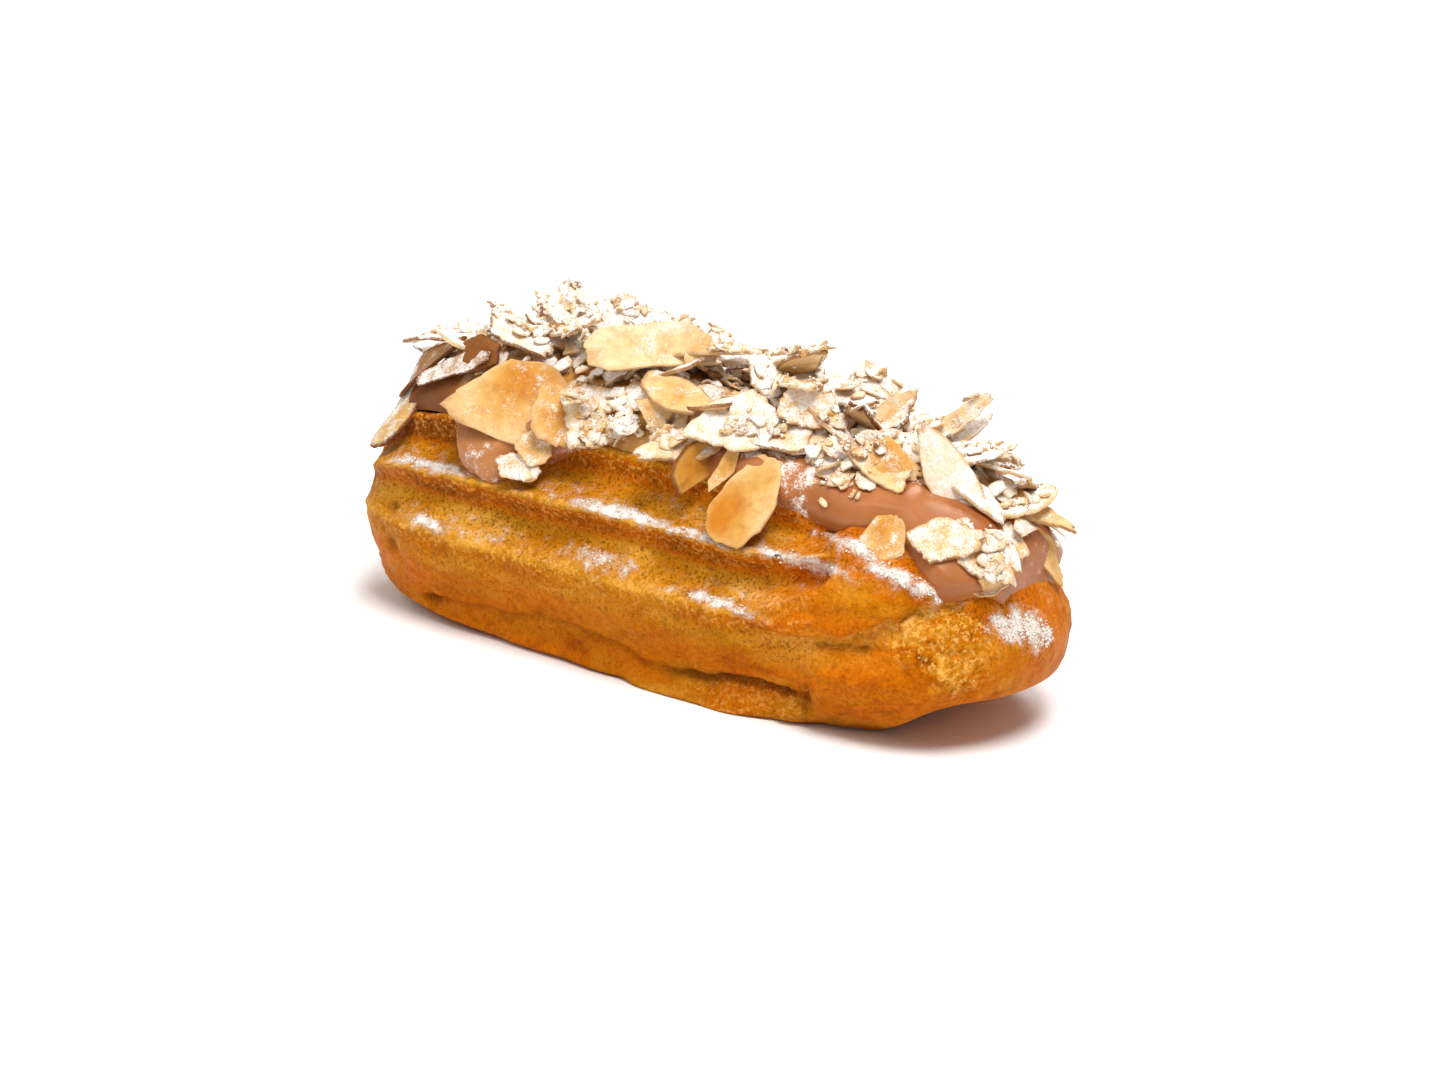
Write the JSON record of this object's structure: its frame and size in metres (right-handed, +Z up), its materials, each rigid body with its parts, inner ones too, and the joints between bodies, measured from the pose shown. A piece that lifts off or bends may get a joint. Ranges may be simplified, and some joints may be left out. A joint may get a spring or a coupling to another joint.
{
  "type": "almond eclair",
  "caption": "Long choux pastry with piped ridges, a milk-chocolate icing over its top and a heap of flaked almonds, on a flat baked base.",
  "frame": {"origin": "on the flat baked base, below the middle of the pastry", "axes": "+X along the pastry towards its iced lower end, -Y towards the side with the bare ridges in view, +Z up"},
  "size_m": [0.1338, 0.0499, 0.0566],
  "materials": {
    "baked_choux": "golden baked choux crust with a faint egg gloss, dusted with icing sugar",
    "iced_almonds": "pale flaked almonds under icing sugar, on a satin milk-chocolate icing"
  },
  "bodies": {
    "root": {"choux_shell": "baked_choux", "almond_topping": "iced_almonds"}
  },
  "joints": []
}
